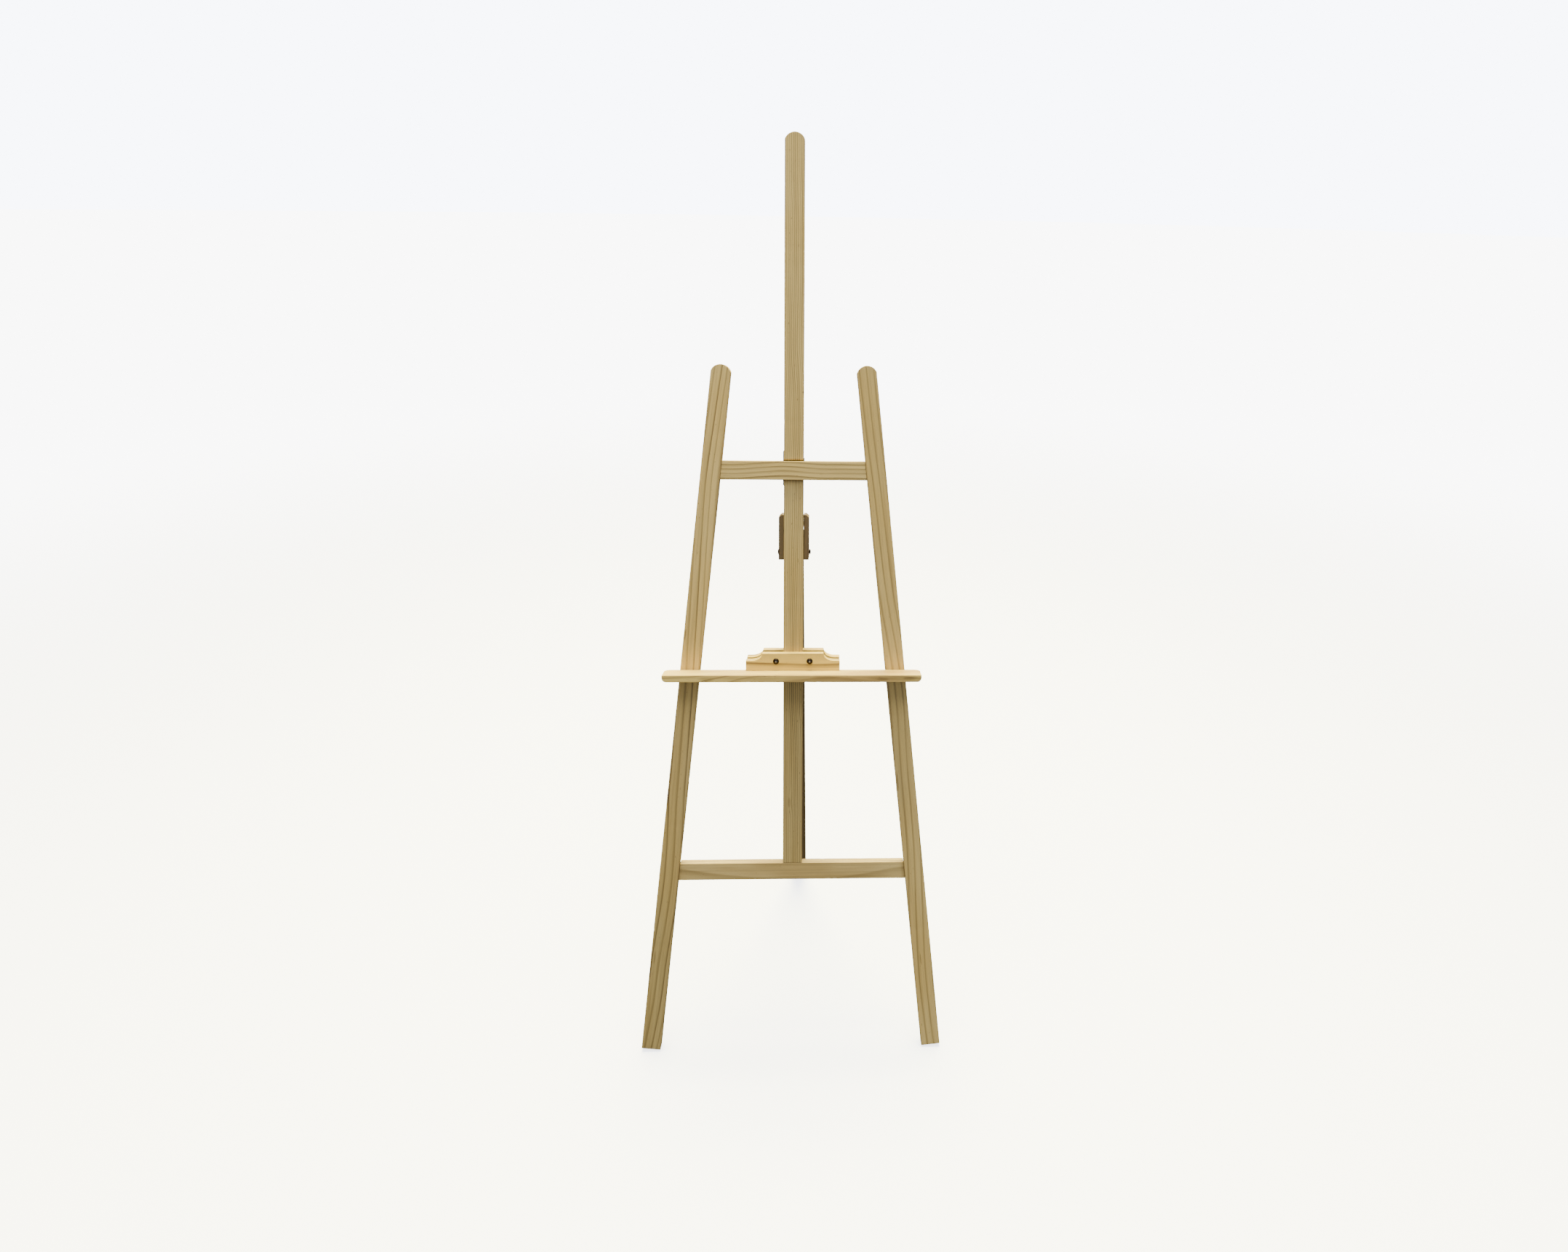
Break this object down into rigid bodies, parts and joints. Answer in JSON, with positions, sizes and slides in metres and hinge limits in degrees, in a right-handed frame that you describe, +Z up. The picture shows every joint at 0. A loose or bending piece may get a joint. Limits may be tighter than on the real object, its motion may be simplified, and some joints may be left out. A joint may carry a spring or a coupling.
{
  "type": "artist easel",
  "caption": "Wooden artist easel: leaning A-frame with a tall fixed mast, a canvas shelf clamped to the mast by wing nuts, and a folding rear leg.",
  "frame": {"origin": "middle of the footprint box on the floor, under the easel", "axes": "+Z up, the easel's front and canvas side face -Y, +X to the right seen from the front"},
  "size_m": [0.575, 0.5106, 1.6838],
  "materials": {
    "frame_pine": "sanded pine under a thin satin coat, straight grain along each stick",
    "mast_pine": "sanded pine, close straight grain, satin",
    "shelf_pine": "sanded pine, slightly warmer, satin",
    "dark_wood": "brown stained wood, satin",
    "dowel_wood": "plain fluted hardwood dowel",
    "black_steel": "black oxide steel, satin",
    "zinc_steel": "zinc plated steel, slightly dull"
  },
  "bodies": {
    "frame": {"leg_left": "frame_pine", "leg_right": "frame_pine", "upper_rail": "frame_pine", "lower_rail": "frame_pine", "mast": "mast_pine", "mast_foot_dowel": "dowel_wood", "mast_saddle": "black_steel", "mast_screw_upper": "zinc_steel", "mast_screw_lower": "zinc_steel", "dowel_lower_rail_left_lower": "dowel_wood", "dowel_lower_rail_left_upper": "dowel_wood", "dowel_lower_rail_right_lower": "dowel_wood", "dowel_lower_rail_right_upper": "dowel_wood", "dowel_upper_rail_left_lower": "dowel_wood", "dowel_upper_rail_left_upper": "dowel_wood", "dowel_upper_rail_right_lower": "dowel_wood", "dowel_upper_rail_right_upper": "dowel_wood", "hinge_block": "dark_wood", "block_screw_left": "black_steel", "block_screw_right": "black_steel", "hinge_cheek_left": "dark_wood", "hinge_cheek_right": "dark_wood", "cheek_screw_left_front": "black_steel", "cheek_screw_left_back": "black_steel", "cheek_screw_right_front": "black_steel", "cheek_screw_right_back": "black_steel", "pivot_bolt": "black_steel", "pivot_cap_nut": "black_steel"},
    "rear_leg": {"rear_leg": "dark_wood"},
    "tray": {"canvas_shelf": "shelf_pine", "clamp_front_plate": "shelf_pine", "shelf_screw_left": "zinc_steel", "shelf_screw_middle": "zinc_steel", "shelf_screw_right": "zinc_steel", "clamp_bolt_left": "black_steel", "clamp_bolt_right": "black_steel"},
    "clamp_jaw": {"clamp_rear_plate": "shelf_pine", "clamp_washer_left": "zinc_steel", "clamp_washer_right": "zinc_steel"},
    "wing_nut_left": {"wing_nut_left": "zinc_steel"},
    "wing_nut_right": {"wing_nut_right": "zinc_steel"}
  },
  "joints": [
    {"name": "rear_leg_fold", "type": "hinge", "parent": "frame", "child": "rear_leg", "pos_m": [0, -0.00272, 0.93352], "axis": [1, 0, 0], "range_deg": [-27, 0]},
    {"name": "tray_lift", "type": "slide", "parent": "frame", "child": "tray", "axis": [0, 0.2079, 0.9781], "range_m": [-0.38, 0.165]},
    {"name": "clamp_release", "type": "slide", "parent": "tray", "child": "clamp_jaw", "axis": [0, 0.9781, -0.2079], "range_m": [0, 0.003]},
    {"name": "wing_nut_left_turn", "type": "hinge", "parent": "clamp_jaw", "child": "wing_nut_left", "pos_m": [-0.031, -0.05367, 0.7453], "axis": [0, 0.9781, -0.2079], "range_deg": [0, 1080]},
    {"name": "wing_nut_right_turn", "type": "hinge", "parent": "clamp_jaw", "child": "wing_nut_right", "pos_m": [0.031, -0.05367, 0.7453], "axis": [0, 0.9781, -0.2079], "range_deg": [0, 1080]}
  ],
  "couplings": [
    {"joint": "wing_nut_left_turn", "follows": "clamp_release", "rad_per_m": 6283},
    {"joint": "wing_nut_right_turn", "follows": "clamp_release", "rad_per_m": 6283}
  ]
}
